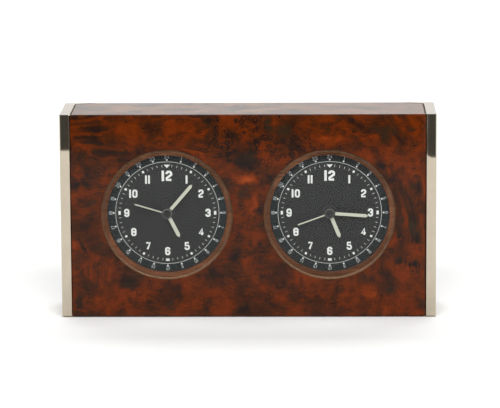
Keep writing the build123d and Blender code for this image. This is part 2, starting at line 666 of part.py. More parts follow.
def battery_contacts():
    """Flat spring plates at the two ends of the battery."""
    gap = INNER_HALF - BATTERY_LENGTH / 2
    plate = Box(gap / 2, 9, 10)
    bump = Rot(0, 90, 0) * Cone(3.2, 1.6, gap / 2 - SEAT_GAP / 2)
    inside = INNER_HALF - gap / 4
    left = Pos(-inside, 0, 0) * plate + Pos(-inside + gap / 2 - SEAT_GAP / 4, 0, 0) * bump
    right = Pos(inside, 0, 0) * plate + Pos(inside - gap / 2 + SEAT_GAP / 4, 0, 0) * Rot(0, 180, 0) * bump
    return Compound([(Pos(0, BATTERY_Y, BATTERY_Z) * piece).solid() for piece in (left, right)])


def set_knob():
    """Grooved knob on the end of the motion wheel's stem, for setting the hands."""
    knob = rod(KNOB_RADIUS, KNOB_FRONT, KNOB_REAR, MOTION)
    for groove in range(KNOB_GROOVES):
        spot = polar(KNOB_RADIUS, 360 / KNOB_GROOVES * groove, MOTION)
        knob -= rod(KNOB_GROOVE_RADIUS, KNOB_FRONT - 1, KNOB_REAR + 1, spot)
    return knob - rod(STEM_R + PRESS, KNOB_FRONT - 1, KNOB_REAR - 1 + PRESS, MOTION)


def hand_angles(reading):
    """Clockwise angles of the hour, minute and second hands at a reading."""
    hours, minutes, seconds = reading
    minutes += seconds / 60
    return (hours + minutes / 60) * 30, minutes * 6, seconds * 6


def clock_pieces(side):
    """Every piece of one clock, moved from the dial centre to its place in the case."""
    hour, minute, second = hand_angles(READINGS[side])
    pieces = {"lens": lens(), "dial_plate": dial_plate(), "dial_nut": dial_nut()}
    pieces.update(hour_hand=hour_hand(hour), minute_hand=minute_hand(minute), second_hand=second_hand(second))
    pieces.update(movement_base=movement_base(), middle_plate=middle_plate(), movement_cover=movement_cover())
    pieces.update(hour_wheel=hour_wheel(), minute_pinion=minute_pinion(), motion_wheel=motion_wheel())
    pieces.update(centre_wheel=centre_wheel(), third_wheel=third_wheel(), seconds_wheel=seconds_wheel())
    pieces.update(intermediate_wheel=intermediate_wheel(), rotor=rotor(), stator=stator(), coil=coil())
    pieces.update(circuit_board=circuit_board(), battery=battery(), battery_contacts=battery_contacts())
    pieces.update(set_knob=set_knob())
    move = Pos(DIAL_X[side], 0, DIAL_Z)
    return {f"{side}_{name}": move * piece for name, piece in pieces.items()}


def both_sides(group):
    """One node that holds a right-hand group of screws and its mirror image."""
    return Compound(list(group.solids()) + list(mirror(group, Plane.YZ).solids()))


def case_pieces():
    right_cap = end_cap()
    right_block = side_block()
    movement_screws = movement_screw_group().solids()
    placed = [Pos(x, 0, DIAL_Z) * one for x in DIAL_X.values() for one in movement_screws]
    return {
        "front_panel": front_panel(),
        "top_panel": top_panel(),
        "bottom_panel": bottom_panel(),
        "back_panel": back_panel(),
        "right_side_block": right_block,
        "left_side_block": mirror(right_block, Plane.YZ),
        "right_end_cap": right_cap,
        "left_end_cap": mirror(right_cap, Plane.YZ),
        "end_cap_screws": both_sides(cap_screw_group()),
        "back_panel_screws": back_screw_group(),
        "dial_clips": dial_clips(),
        "dial_clip_screws": clip_screw_group(),
        "movement_screws": Compound(placed),
        "base_baize": base_baize(),
    }


def main():
    os.makedirs("parts", exist_ok=True)
    pieces = case_pieces()
    for side in DIAL_X:
        pieces.update(clock_pieces(side))
    for name, piece in pieces.items():
        export_step(piece, f"parts/{name}.step")


if __name__ == "__main__":
    main()
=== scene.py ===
# %% [markdown]
# # A two-dial chess clock
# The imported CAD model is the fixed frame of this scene: every size and place comes from it. It already
# has the case, the glasses, the hands and the two movements. What Blender adds is the looks: the
# finishes, the printing on the dials, the luminous filling of the hands, the felt and the studio.

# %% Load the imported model
import json
from math import pi, radians

import bmesh
import bpy
from mathutils import Matrix, Vector


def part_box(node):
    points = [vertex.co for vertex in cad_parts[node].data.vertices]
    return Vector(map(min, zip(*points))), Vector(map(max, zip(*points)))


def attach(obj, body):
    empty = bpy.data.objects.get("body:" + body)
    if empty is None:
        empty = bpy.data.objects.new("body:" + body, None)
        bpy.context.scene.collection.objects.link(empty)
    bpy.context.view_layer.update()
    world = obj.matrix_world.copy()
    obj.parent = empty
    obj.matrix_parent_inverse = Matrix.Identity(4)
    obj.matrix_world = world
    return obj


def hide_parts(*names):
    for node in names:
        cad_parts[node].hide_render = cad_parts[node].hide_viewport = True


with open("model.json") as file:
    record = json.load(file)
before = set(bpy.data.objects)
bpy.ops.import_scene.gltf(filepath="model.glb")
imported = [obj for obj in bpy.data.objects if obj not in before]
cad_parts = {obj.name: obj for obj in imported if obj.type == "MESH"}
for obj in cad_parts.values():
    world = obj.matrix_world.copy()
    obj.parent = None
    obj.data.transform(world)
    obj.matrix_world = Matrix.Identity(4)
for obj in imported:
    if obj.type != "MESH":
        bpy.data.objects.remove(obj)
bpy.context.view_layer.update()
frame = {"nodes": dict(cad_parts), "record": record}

MM = 0.001
SIDES = ("left", "right")

# %% [markdown]
# ## Where things are
# The case stands on the floor with its dials facing -Y. The finishes are worked out in millimetres from
# a few places on it, so they are read from the CAD boxes once, here.

# %% Places on the clock
front_y, back_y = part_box("left_end_cap")[0].y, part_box("left_end_cap")[1].y
base_z, top_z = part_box("left_end_cap")[0].z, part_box("left_end_cap")[1].z
strip_outer, strip_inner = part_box("right_end_cap")[1].x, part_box("front_panel")[1].x
dial_centre = {}
for side in SIDES:
    low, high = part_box(f"{side}_dial_plate")
    dial_centre[side] = Vector(((low.x + high.x) / 2, low.y, (low.z + high.z) / 2))
DIAL_X = dial_centre["right"].x / MM
DIAL_Z = dial_centre["right"].z / MM
FRONT = front_y / MM
LENS_RADIUS = (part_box("right_lens")[1].x - dial_centre["right"].x) / MM
print("dial centres", dial_centre)

# %% [markdown]
# ## The camera
# A long lens a little under two metres away, looking down by ten and a half degrees, keeps the case's
# edges almost parallel. The camera is turned by given angles rather than by a tracking constraint,
# because it stands slightly to the right and is rolled by a third of a degree.

# %% Camera
CAMERA_PLACE = Vector((0.0426, -1.918, 0.4231))
camera_data = bpy.data.cameras.new("camera")
camera_data.lens = 226.8
camera_data.sensor_width = 36.0
camera = bpy.data.objects.new("camera", camera_data)
bpy.context.scene.collection.objects.link(camera)
yaw, down, roll = 0.0219, 0.1838, -0.0058
turn = (
    Matrix.Rotation(yaw, 4, "Z") @ Matrix.Rotation(pi / 2 - down, 4, "X") @ Matrix.Rotation(roll, 4, "Z")
)
camera.matrix_world = Matrix.Translation(CAMERA_PLACE) @ turn
bpy.context.scene.camera = camera
print("camera", camera_data.lens, "mm")

# %% [markdown]
# ## Handing over a piece
# A new piece is shaped in a bmesh with Blender's mesh operators and handed over once: it gets its mesh
# and its finish, and when it is given a slot it rides on a body. A piece of the studio has no slot,
# because it isn't part of the clock.

# %% One way to hand over a piece
def finish_piece(name, bm, material, slot, body="root"):
    bmesh.ops.remove_doubles(bm, verts=bm.verts, dist=1e-7)
    bmesh.ops.recalc_face_normals(bm, faces=bm.faces)
    mesh = bpy.data.meshes.new(name)
    bm.to_mesh(mesh)
    bm.free()
    piece = bpy.data.objects.new(name, mesh)
    bpy.context.scene.collection.objects.link(piece)
    mesh.materials.append(material)
    mesh.shade_flat()
    if slot:
        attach(piece, body)
    print(name, len(mesh.polygons), "faces on", body)
    return piece


# %% [markdown]
# ## Wiring a finish
# A finish is a node tree. Wiring it node by node is long and hard to read, so one small class wraps a
# socket and takes part in sums like a number: an expression adds its Math nodes by itself. Every other
# node comes from one method, which takes the node's type, its settings and its sockets. Patterns are
# worked out in millimetres on Object coordinates, so they keep their scale and stay on their piece.

# %% Shader maths as Python expressions
class Wire:
    """One output of a shader node, which takes part in sums like a number."""

    def __init__(self, finish, socket):
        self.finish = finish
        self.socket = socket

    def math(self, operation, *values):
        return self.finish.node("Math", {"operation": operation}, dict(enumerate(values)))

    def __add__(self, other):
        return self.math("ADD", self, other)

    def __sub__(self, other):
        return self.math("SUBTRACT", self, other)

    def __rsub__(self, other):
        return self.math("SUBTRACT", other, self)

    def __mul__(self, other):
        return self.math("MULTIPLY", self, other)

    def __truediv__(self, other):
        return self.math("DIVIDE", self, other)

    def __abs__(self):
        return self.math("ABSOLUTE", self)

    def at_least(self, other):
        return self.math("MAXIMUM", self, other)

    def at_most(self, other):
        return self.math("MINIMUM", self, other)

    __radd__ = __add__
    __rmul__ = __mul__


class Finish:
    """A material while it is being wired: one Principled shader and whatever feeds it."""

    def __init__(self, name, **constants):
        self.material = bpy.data.materials.new(name)
        self.material.use_nodes = True
        self.nodes = self.material.node_tree.nodes
        self.links = self.material.node_tree.links
        self.shader = self.nodes["Principled BSDF"]
        self.output = self.nodes["Material Output"]
        for socket, value in constants.items():
            self.shader.inputs[socket.replace("_", " ")].default_value = value

    def node(self, kind, settings=None, sockets=None, out=0):
        made = self.nodes.new("ShaderNode" + kind)
        for name, value in (settings or {}).items():
            if name == "stops":
                ramp = made.color_ramp
                while len(ramp.elements) < len(value):
                    ramp.elements.new(1.0)
                for element, (at, colour) in zip(ramp.elements, value):
                    element.position = at
                    element.color = (*colour, 1.0)
            else:
                setattr(made, name, value)
        for name, value in (sockets or {}).items():
            if isinstance(value, Wire):
                self.links.new(value.socket, made.inputs[name])
            else:
                made.inputs[name].default_value = value
        return Wire(self, made.outputs[out])

    def millimetres(self):
        place = self.node("TexCoord", out="Object")
        scaled = self.node("VectorMath", {"operation": "SCALE"}, {0: place, "Scale": 1 / MM})
        return [self.node("SeparateXYZ", None, {0: scaled}, axis) for axis in "XYZ"]

    def vector(self, x, y, z):
        return self.node("CombineXYZ", None, {0: x, 1: y, 2: z})

    def from_dial_centre(self, x, z):
        """How far a place is from the nearer dial's centre, by the mirror symmetry of the case."""
        flat = self.vector(abs(x) - DIAL_X, z - DIAL_Z, 0)
        return self.node("VectorMath", {"operation": "LENGTH"}, {0: flat}, "Value")

    def noise(self, place, size, detail=2.0, roughness=0.5, out="Fac"):
        sockets = {"Vector": place, "Scale": 1 / size, "Detail": detail, "Roughness": roughness}
        return self.node("TexNoise", None, sockets, out)

    def shaken(self, place, size, amount, detail=1.0):
        """The place, moved about by up to the amount, in waves of that size."""
        colour = self.noise(place, size, detail, out="Color")
        centred = self.node("VectorMath", {"operation": "SUBTRACT"}, {0: colour, 1: (0.5, 0.5, 0.5)})
        scaled = self.node("VectorMath", {"operation": "SCALE"}, {0: centred, "Scale": 2 * amount})
        return self.node("VectorMath", {"operation": "ADD"}, {0: place, 1: scaled})

    def smooth(self, value, low, high):
        """0 below low, 1 above high and an easy slope between."""
        sockets = {"Value": value, "From Min": low, "From Max": high}
        return self.node("MapRange", {"interpolation_type": "SMOOTHSTEP"}, sockets)

    def fall(self, value, low, high):
        """1 below low, 0 above high."""
        return 1 - self.smooth(value, low, high)

    def ramp(self, value, stops):
        return self.node("ValToRGB", {"stops": stops}, {"Fac": value})

    def mix(self, factor, a, b):
        """Colour a where the factor is 0 and b where it is 1."""
        a, b = (c if isinstance(c, Wire) else (*c, 1.0) for c in (a, b))
        return self.node("Mix", {"data_type": "RGBA"}, {0: factor, 6: a, 7: b}, 2)

    def paint(self, **links):
        for socket, wire in links.items():
            self.links.new(wire.socket, self.shader.inputs[socket.replace("_", " ")])
        return self.material

    def bump(self, height, distance):
        """Turns a height from 0 to 1 into a relief of that many millimetres."""
        return self.node("Bump", None, {"Height": height, "Distance": distance * MM, "Strength": 1.0})


print("finishes are wired by", Finish.__name__)

# %% [markdown]
# ## The veneer
# The case is covered in burr walnut under a thick gloss lacquer, and no two parts of the sheet look
# alike: the grain runs in dark arcs over the left dial, stands nearly upright at the right, closes into
# loops low on the left, and breaks up into a nest of eyes between the dials. One noise all over would
# read as plastic. So the grain's direction is a field, drawn as rings about a few centres, stretched
# noise across those rings makes the streaks, and soft spots darken or brighten chosen places. The eyes
# are Voronoi cells. The sheet is folded over the long edges, by adding depth to height.
#
# The top board is painted lighter as painted light, and a dark joint shows there beside each cap. Where
# a board is cut, its plain core shows under the veneer, so the same finish serves every board of the
# case.

# %% The map of the figure
# Soft spots: x and height, half width and half height, tilt in degrees, and strength.
DARK_SPOTS = [
    (-60, 106.5, 15, 4.2, -8, 0.75), (-92, 95, 17, 6, 6, 0.5), (-90, 119, 16, 3.2, 10, 0.7),
    (-70, 117, 16, 2.2, 4, 0.35), (-103, 84, 10, 5, 0, 0.35), (-47, 100, 4, 9, 40, 0.35),
    (-11, 119, 9, 8, 0, 0.5), (-2, 98, 12, 6.5, -20, 0.75), (-17, 104, 7, 8, 10, 0.45),
    (10, 118, 6, 6, 0, 0.35), (28, 106, 3.4, 3.4, 0, 0.45), (44, 122, 5, 3, 0, 0.25),
    (66, 121, 11, 3.5, -25, 0.5), (92, 113, 22, 4.5, -48, 0.55), (80, 94, 3.6, 5, 0, 0.8),
    (81, 105, 1.1, 9, -4, 0.5), (97, 94, 2.2, 8, 8, 0.6), (101, 78, 4, 8, 15, 0.5),
    (104, 48, 3.5, 30, 2, 0.35), (93, 36, 5, 5.5, 0, 0.6), (88, 18, 2.2, 15, 6, 0.55),
    (98.5, 14, 2.4, 16, -6, 0.6), (55, 12, 4, 12, 4, 0.55), (-9, 51, 3.2, 10, 12, 0.5),
    (-8.5, 35.5, 5, 5, 20, 0.8), (-24, 25, 4, 4.5, 0, 0.45), (-8, 8, 26, 8, 4, 0.7),
    (-48, 11, 15, 8, 6, 0.6), (-75, 22, 10, 5.5, -25, 0.65), (-104, 16, 4, 18, 0, 0.7),
    (-88, 5, 14, 4.5, 0, 0.55), (26, 33, 7, 5, 0, 0.35), (6, 66, 4.4, 3.2, -10, 0.7),
    (3, 58, 6, 5, 0, 0.3), (31, 16, 6, 3, 0, 0.25), (78, 27, 6, 8, 30, 0.25),
    (-86, 100, 40, 28, 0, 0.4), (102, 60, 7, 66, 0, 0.42), (-99, 52, 5, 22, 8, 0.3),
]
BRIGHT_SPOTS = [
    (-38, 117, 18, 8, -8, 0.5), (-29, 98, 7, 12, 28, 0.6), (2, 84, 19, 6, -4, 0.6),
    (18, 119, 7, 7, 0, 0.5), (45, 112, 16, 9, 0, 0.45), (74, 112, 10, 9, -30, 0.7),
    (88, 96, 7, 13, -20, 0.5), (94, 60, 4, 14, 0, 0.5), (70, 17, 10, 9, 0, 0.55),
    (80, 7, 14, 5, 0, 0.35), (30, 22, 16, 12, 0, 0.2), (0, 72, 14, 10, 0, 0.25),
    (14, 45, 12, 10, 0, 0.2), (-34, 27, 12, 8, 20, 0.4), (-105, 43, 3, 9, 0, 0.45),
    (-72, 12, 13, 5, 10, 0.5), (-84, 38, 6, 11, -20, 0.35), (-104, 108, 8, 5, 10, 0.3),
    (-80, 110, 16, 3, 8, 0.35), (-93, 13, 7, 6, 0, 0.4), (34, 85, 6, 7, 0, 0.3),
    (1, 72, 9, 26, 0, 0.45), (58, 118, 22, 8, 0, 0.5), (64, 12, 22, 8, 0, 0.2),
]
# Rings that the grain follows: centre, stretch across and up, and the spot where they show.
GRAIN_RINGS = [
    ((-50, 12), (0.5, 1.0), (-80, 100, 85, 58)),
    ((44, 34), (1.0, 0.62), (104, 62, 52, 110)),
    ((-118, 39), (1.0, 0.75), (-103, 34, 26, 26)),
]
WALNUT_TONES = [
    (0.0, (0.012, 0.006, 0.005)), (0.2, (0.022, 0.008, 0.004)), (0.42, (0.052, 0.012, 0.003)),
    (0.62, (0.098, 0.016, 0.002)), (0.82, (0.160, 0.025, 0.003)), (1.0, (0.24, 0.044, 0.006)),
]
OLIVE_CAST = (0.030, 0.020, 0.009)
# Painted light: the lighter tone that the top board is painted with, where it faces up.
TOP_BOARD_PAINTED_LIGHT = (0.27, 0.132, 0.056)
JOINT_TONE = (0.010, 0.005, 0.003)
CORE_TONES = [(0.3, (0.11, 0.034, 0.012)), (0.7, (0.21, 0.080, 0.034))]
VENEER_T = 0.8
print("dark spots", len(DARK_SPOTS), "bright spots", len(BRIGHT_SPOTS))


# %% Grain and soft spots
def soft_spot(finish, place, x, height, half_width, half_height, tilt=0.0):
    """1 in the middle of an ellipse and 0 outside it, with a soft edge."""
    sockets = {
        "Vector": place, "Location": (x, height, 0), "Rotation": (0, 0, radians(tilt)),
        "Scale": (half_width, half_height, 1),
    }
    inside = finish.node("Mapping", {"vector_type": "TEXTURE"}, sockets)
    distance = finish.node("VectorMath", {"operation": "LENGTH"}, {0: inside}, "Value")
    return finish.fall(distance, 0.25, 1.15)


def total_of(finish, place, spots):
    """All the spots of a list added up, with 1 as the most."""
    total = None
    for *where, strength in spots:
        spot = soft_spot(finish, place, *where) * strength
        total = spot if total is None else total + spot
    return total.at_most(1.0)


def streaks_across(finish, place, centre, stretch):
    """Noise drawn out along the rings about a centre."""
    sockets = {"Vector": place, "Location": (-centre[0] * stretch[0], -centre[1] * stretch[1], 0)}
    moved = finish.node("Mapping", None, {**sockets, "Scale": (*stretch, 1)})
    ring = finish.node("VectorMath", {"operation": "LENGTH"}, {0: moved}, "Value")
    across, up = (finish.node("SeparateXYZ", None, {0: moved}, axis) for axis in "XY")
    turn_round = finish.node("Math", {"operation": "ARCTAN2"}, {0: across, 1: up})
    broad = finish.noise(finish.vector(ring / 5.2, turn_round * 1.1, centre[0] / 7), 1.0, 3, 0.6)
    fine = finish.noise(finish.vector(ring / 1.3, turn_round * 2.6, centre[0] / 5), 1.0, 2, 0.6)
    return broad * 0.68 + fine * 0.32


def walnut_tone(finish, place, nest):
    """How light the figure is, from 0 to 1, at a place on the unfolded sheet."""
    wavy = finish.shaken(finish.shaken(place, 34, 6.5), 9, 1.7)
    cloud = finish.noise(wavy, 18, 4, 0.58)
    fibre = finish.node("Mapping", None, {"Vector": wavy, "Scale": (1 / 9, 1 / 1.5, 1)})
    grain = cloud * 0.78 + finish.noise(fibre, 1.0, 2, 0.6) * 0.22
    for centre, stretch, (x, height, half_width, half_height) in GRAIN_RINGS:
        here = soft_spot(finish, wavy, x, height, half_width, half_height)
        rings = (streaks_across(finish, wavy, centre, stretch) - 0.5) * 1.45 + 0.49
        grain = grain + (rings - grain) * here
    figure = finish.smooth(grain, 0.35, 0.63)
    dark = total_of(finish, wavy, DARK_SPOTS)
    bright = total_of(finish, wavy, BRIGHT_SPOTS)
    line = finish.fall(abs(finish.noise(wavy, 13, 3) - 0.5), 0.0, 0.022)
    return 0.23 + figure * 0.46 + bright * 0.4 - dark * 0.46 - line * (0.1 + nest * 0.2)


print("rings that the grain follows", len(GRAIN_RINGS))


# %% Eyes, core and joints
def burr_eyes(finish, place, size, share, ring):
    """Dark pips, each inside a pale collar and a dark ring, in a share of the cells."""
    moved = finish.shaken(place, 3.5, 0.9)
    sockets = {"Vector": moved, "Scale": 1 / size}
    distance = finish.node("TexVoronoi", None, sockets, "Distance")
    lot = finish.node("SeparateXYZ", None, {0: finish.node("TexVoronoi", None, sockets, "Color")}, "X")
    pip = finish.fall(distance, 0.08, 0.19)
    collar = finish.smooth(distance, 0.22, 0.33) * finish.fall(distance, 0.33, 0.48) * ring
    return (pip + collar) * finish.fall(lot, share - 0.04, share + 0.04)


def under_the_veneer(finish, x, y, z):
    """How far a place is inside the board, from 0 to 1, and the tone of the core there."""
    inside = finish.smooth(y, FRONT + VENEER_T, FRONT + VENEER_T + 0.1)
    for wire, edge, sign in ((z, top_z / MM, -1), (z, base_z / MM, 1), (y, back_y / MM, -1)):
        depth = (wire - edge) * sign
        inside = inside * finish.smooth(depth, VENEER_T, VENEER_T + 0.1)
    lines = finish.noise(finish.vector(x / 14, y, z), 1.1, 2)
    return inside, finish.ramp(lines, CORE_TONES)


def joint_lines(finish, x, y):
    """The joint beside each end cap, and the slanting one at its back corner."""
    from_cap = strip_inner / MM - abs(x)
    from_return = from_cap * 0.2 + (back_y / MM - 4.4) - y
    along_return = finish.fall(abs(from_return), 0.7, 1.2) * finish.fall(from_cap, 9, 15)
    return finish.fall(from_cap, 0.5, 1.0).at_least(along_return)


print("veneer", VENEER_T, "mm over the core")


# %% Burr walnut
def walnut():
    """The figured veneer, its core where the board is cut, and the lacquer over both."""
    lacquer = {"Coat_Weight": 1.0, "Coat_IOR": 1.22, "Coat_Roughness": 0.03}
    w = Finish("burr_walnut", Roughness=0.45, Specular_IOR_Level=0.0, **lacquer)
    x, y, z = w.millimetres()
    sheet = w.vector(x, z + y - FRONT, 0)
    nest = soft_spot(w, sheet, -3, 110, 27, 24).at_least(soft_spot(w, sheet, 26, 98, 26, 22) * 0.8)
    tone = walnut_tone(w, sheet, nest)
    few = burr_eyes(w, sheet, 6.2, 0.4, 0.35)
    many = burr_eyes(w, sheet, 4.3, 0.72, 0.9)
    pores = burr_eyes(w, sheet, 3.4, 0.3, 0.0)
    speckle = w.noise(sheet, 0.8, 2, 0.7)
    tone = tone - few * 0.45 - pores * 0.35 - nest * (many * 0.75 + 0.07) + (speckle - 0.5) * 0.2
    figure = w.ramp(tone, WALNUT_TONES)
    cast = w.smooth(w.noise(sheet, 21, 1), 0.5, 0.72) * w.fall(tone, 0.2, 0.5) * 0.5
    figure = w.mix(cast, figure, OLIVE_CAST)
    inside, core = under_the_veneer(w, x, y, z)
    # Painted light: the top board is painted lighter where it faces up, most where the figure is light.
    above = w.smooth(y, FRONT + 1, FRONT + 3) * w.smooth(z, top_z / MM - 0.4, top_z / MM - 0.3)
    figure = w.mix(above * w.smooth(tone, 0.1, 0.9) * 0.85, figure, TOP_BOARD_PAINTED_LIGHT)
    seam = joint_lines(w, x, y) * above * 0.75
    colour = w.mix(seam, w.mix(inside, figure, core), JOINT_TONE)
    return w.paint(Base_Color=colour, Coat_Weight=1.0 - seam)


print("walnut tones", len(WALNUT_TONES))

# %% [markdown]
# ## Metals
# The caps are solid warm white metal, polished until they mirror the table. A perfect mirror looks
# like a hole in the picture, so the polish has faint cloudiness and hairlines along the strip. The
# screws, clips, contacts and wheels are the same kind of finish in other colours, and less bright.

# %% Metals
def polished_metal(name, colour, roughness, cloud=6.0, hairline=(0.35, 0.35, 9.0), wear=0.05):
    """A bright metal whose roughness and tint drift, with hairlines drawn along one axis.

    The cloud and the hairline are sizes in millimetres, and the wear is the roughness that they add.
    """
    m = Finish(name, Metallic=1.0)
    place = m.vector(*m.millimetres())
    clouds = m.noise(place, cloud, 3, 0.6)
    along = m.node("Mapping", None, {"Vector": place, "Scale": tuple(1 / s for s in hairline)})
    lines = m.noise(along, 1.0, 2, 0.6)
    darker, lighter = (tuple(c * share for c in colour) for share in (0.86, 1.14))
    tint = m.mix(clouds * 0.7 + lines * 0.3, darker, lighter)
    rough = roughness + clouds * wear + lines * wear
    return m.paint(Base_Color=tint, Roughness=rough, Normal=m.bump(lines, 0.0004))


print("metal finishes use", polished_metal.__name__)

# %% [markdown]
# ## Glass
# A glass disc over each dial is clear except for what it mirrors. Full refraction in a thin disc would
# cost many samples and darken the dial, because light has to find its way in. A clear shader mixed with
# a glossy one by Fresnel gives the same look. The index is lower than plain glass has, so the mirrored
# studio doesn't grey the black dial. The frosted bevel is less clear than the rest: some warm diffuse
# white is mixed in there, and its share grows towards the bottom as a painted highlight, a bright
# crescent.

# %% Bevelled glass
GLASS_INDEX = 1.20
BEVEL_START, BEVEL_FULL = LENS_RADIUS - 1.7, LENS_RADIUS - 1.2
# The warm tint of the frosted bevel, which also carries its painted highlight.
FROSTED_BEVEL_HIGHLIGHT_TINT = (0.75, 0.53, 0.33, 1.0)


def bevelled_glass():
    g = Finish("bevelled_glass")
    x, y, z = g.millimetres()
    rim = g.smooth(g.from_dial_centre(x, z), BEVEL_START, BEVEL_FULL)
    # Painted highlight: the diffuse share on the bevel grows towards the bottom of the dial.
    low = g.smooth((DIAL_Z - z) / LENS_RADIUS, 0.0, 1.0)
    frosted_bevel_highlight = g.node("BsdfDiffuse", None, {"Color": FROSTED_BEVEL_HIGHLIGHT_TINT}, "BSDF")
    g.nodes.remove(g.shader)
    clear = g.node("BsdfTransparent", None, {"Color": (0.97, 0.98, 0.975, 1.0)}, "BSDF")
    mirror = g.node("BsdfGlossy", None, {"Color": (1, 1, 1, 1), "Roughness": 0.02}, "BSDF")
    share = g.node("Fresnel", None, {"IOR": GLASS_INDEX})
    polished = g.node("MixShader", None, {0: share, 1: clear, 2: mirror})
    mixed = g.node("MixShader", None, {0: rim * (low * low * 0.28 + 0.07), 1: polished, 2: frosted_bevel_highlight})
    g.links.new(mixed.socket, g.output.inputs["Surface"])
    return g.material


print("glass", bevelled_glass.__name__)

# %% [markdown]
# ## Dial paint
# The dials are flat black, and outside the fine ring the twenty-four-hour zone is a shade cooler than
# the middle. The paint is one material for both, so it measures the distance to the nearer dial's
# centre from the mirror symmetry of the case. A slow drift in its tint and roughness keeps it from
# looking like a hole. The hands have a satin black of their own, and inks and pastes share one coat.

# %% Dial and hand paints
RING_RADIUS, RING_WIDTH = 31.8, 0.2
MIDDLE_BLACK, ZONE_BLACK = (0.0262, 0.0262, 0.0258), (0.0150, 0.0192, 0.0200)


def dial_paint():
    d = Finish("dial_black", Specular_IOR_Level=0.1)
    x, y, z = d.millimetres()
    drift = d.noise(d.vector(x, y, z), 9, 2)
    outside = d.smooth(d.from_dial_centre(x, z), RING_RADIUS - RING_WIDTH, RING_RADIUS)
    tint = d.mix(outside, MIDDLE_BLACK, ZONE_BLACK)
    tint = d.mix(drift * 0.1, tint, (0.026, 0.026, 0.026))
    return d.paint(Base_Color=tint, Roughness=0.5 + drift * 0.1)


def paint_coat(name, colour, roughness, size=0.4, relief=0.003):
    """A thin coat of paint, ink or luminous paste, with a grain of that size and relief."""
    p = Finish(name, Specular_IOR_Level=0.4)
    grain = p.noise(p.vector(*p.millimetres()), size, 3, 0.6)
    darker = tuple(c * 0.88 for c in colour)
    tint = p.mix(grain, darker, colour)
    return p.paint(Base_Color=tint, Roughness=roughness + grain * 0.12, Normal=p.bump(grain, relief))


def hand_paint():
    """Satin black, worn to bare metal on the eased edge of the cap in the middle."""
    h = Finish("hand_black", Specular_IOR_Level=0.35)
    x, y, z = h.millimetres()
    radius = h.from_dial_centre(x, z)
    cap_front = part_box("right_second_hand")[0].y / MM
    eased_edge = h.smooth(radius, 2.5, 2.58) * h.fall(radius, 2.92, 3.0)
    bare = eased_edge * h.fall(y, cap_front + 0.4, cap_front + 0.5)
    grain = h.noise(h.vector(x, y, z), 0.4, 2)
    tint = h.mix(bare, (0.010, 0.010, 0.009), (0.22, 0.215, 0.20))
    return h.paint(Base_Color=tint, Metallic=bare * 0.2, Roughness=0.3 + grain * 0.15)


print("paints", dial_paint.__name__, paint_coat.__name__, hand_paint.__name__)

# %% [markdown]
# ## Everything behind the dials
# Nothing of the movements shows from the front, but the back board has an opening over each one, and
# the part can be taken apart. So the plastics, the board, the winding and the battery get finishes of
# their own: moulded plastic has a fine spark-eroded texture, and a winding has turns.

# %% Inner finishes
BLOCK_TONES = [(0.3, (0.19, 0.10, 0.045)), (0.55, (0.34, 0.20, 0.10)), (0.75, (0.42, 0.27, 0.15))]


def moulded_plastic(name, colour, roughness=0.45, texture=0.22):
    p = Finish(name, Specular_IOR_Level=0.5)
    place = p.vector(*p.millimetres())
    grain = p.noise(place, texture, 2, 0.6)
    flow = p.noise(place, 9, 2)
    tint = p.mix(flow, tuple(c * 0.86 for c in colour), colour)
    return p.paint(Base_Color=tint, Roughness=roughness + grain * 0.15, Normal=p.bump(grain, 0.012))


def block_wood():
    b = Finish("block_wood", Specular_IOR_Level=0.3)
    x, y, z = b.millimetres()
    shaken = b.shaken(b.vector(x, y, z), 30, 3)
    grain = b.node("Mapping", None, {"Vector": shaken, "Scale": (1 / 1.6, 1 / 1.6, 1 / 26)})
    lines = b.noise(grain, 1.0, 4, 0.65)
    tint = b.ramp(lines, BLOCK_TONES)
    return b.paint(Base_Color=tint, Roughness=0.6 + lines * 0.2, Normal=b.bump(lines, 0.05))


def circuit_green():
    """Tracks of an uneven brick pattern under a green varnish."""
    c = Finish("circuit_board", Specular_IOR_Level=0.5)
    x, y, z = c.millimetres()
    bricks = {"Scale": 0.42, "Mortar Size": 0.05, "Brick Width": 1.1, "Row Height": 0.55}
    tracks = c.node("TexBrick", {"offset": 0.37}, {"Vector": c.vector(x, z, 0), **bricks}, "Fac")
    tint = c.mix(tracks, (0.016, 0.085, 0.036), (0.05, 0.19, 0.07))
    return c.paint(Base_Color=tint, Roughness=0.28 + tracks * 0.12, Normal=c.bump(tracks, 0.03))


def copper_winding():
    w = Finish("copper_winding", Metallic=0.85)
    x, y, z = w.millimetres()
    turns = w.node("TexWave", None, {"Vector": w.vector(x, 0, 0), "Scale": 1.1, "Distortion": 0.0}, "Fac")
    lay = w.noise(w.vector(x * 3, y, z), 2.0, 2)
    tint = w.mix(turns * 0.6 + lay * 0.4, (0.26, 0.075, 0.025), (0.60, 0.25, 0.10))
    return w.paint(Base_Color=tint, Roughness=0.3 + lay * 0.15, Normal=w.bump(turns, 0.05))


def battery_sleeve():
    """A shrunk sleeve in two colours, with bare metal at both ends of the cell."""
    b = Finish("battery_sleeve", Coat_Weight=0.6)
    x, y, z = b.millimetres()
    side_sign = x / (abs(x) + 0.001)
    along = (abs(x) - DIAL_X) * side_sign
    ends = b.smooth(abs(along), 23.4, 23.6)
    band = b.smooth(along, 9.9, 10.1)
    scuff = b.noise(b.vector(x, y, z), 1.4, 3, 0.6)
    tint = b.mix(band, (0.035, 0.085, 0.20), (0.55, 0.40, 0.16))
    tint = b.mix(ends, tint, (0.62, 0.62, 0.62))
    tint = b.mix(scuff * 0.15, tint, (0.3, 0.3, 0.3))
    return b.paint(Base_Color=tint, Metallic=ends, Roughness=0.28 + scuff * 0.15)


print("inner finishes", moulded_plastic.__name__, block_wood.__name__, copper_winding.__name__)

# %% [markdown]
# ## Who wears what
# The record names a material slot for every CAD piece. One table from slot to finish dresses them all.
# The baize has no finish here, because a sheet made below stands in for its CAD solid.

